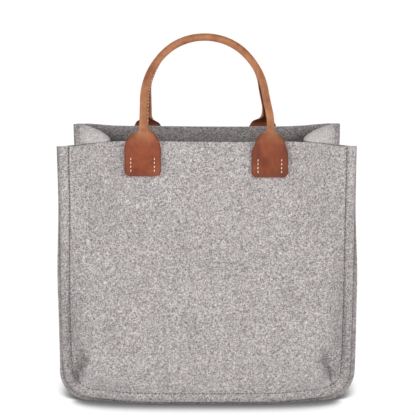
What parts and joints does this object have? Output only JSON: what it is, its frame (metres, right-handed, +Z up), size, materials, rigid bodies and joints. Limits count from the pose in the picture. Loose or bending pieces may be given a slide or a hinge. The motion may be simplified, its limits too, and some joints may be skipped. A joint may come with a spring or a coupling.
{
  "type": "knitting bag",
  "caption": "Boxy felt tote for knitting and yarn, with a U-shaped gusset and rolled leather handles that swing outwards.",
  "frame": {"origin": "on the floor, under the middle of the bag", "axes": "+X to the bag's right as its front is viewed, +Y to the back, +Z up"},
  "size_m": [0.4084, 0.2101, 0.5025],
  "materials": {
    "felt": "thick melange wool felt, light warm grey, matte",
    "leather": "cognac vegetable-tanned leather, satin",
    "waxed_thread": "cream waxed thread",
    "seam_thread": "dark grey machine thread",
    "core_cord": "raw twisted cotton cord"
  },
  "bodies": {
    "bag": {"front_panel": "felt", "back_panel": "felt", "side_and_base_gusset": "felt", "front_seam_stitches": "seam_thread", "back_seam_stitches": "seam_thread", "front_left_tab": "leather", "front_left_tab_stitches": "waxed_thread", "front_right_tab": "leather", "front_right_tab_stitches": "waxed_thread", "back_left_tab": "leather", "back_left_tab_stitches": "waxed_thread", "back_right_tab": "leather", "back_right_tab_stitches": "waxed_thread"},
    "front_handle": {"front_handle_roll": "leather", "front_handle_core": "core_cord", "front_handle_stitches": "waxed_thread"},
    "back_handle": {"back_handle_roll": "leather", "back_handle_core": "core_cord", "back_handle_stitches": "waxed_thread"}
  },
  "joints": [
    {"name": "front_handle_swing", "type": "hinge", "parent": "bag", "child": "front_handle", "pos_m": [0, -0.0626, 0.371], "axis": [1, 0, 0], "range_deg": [0, 150]},
    {"name": "back_handle_swing", "type": "hinge", "parent": "bag", "child": "back_handle", "pos_m": [0, 0.0846, 0.371], "axis": [-1, 0, 0], "range_deg": [0, 150]}
  ]
}
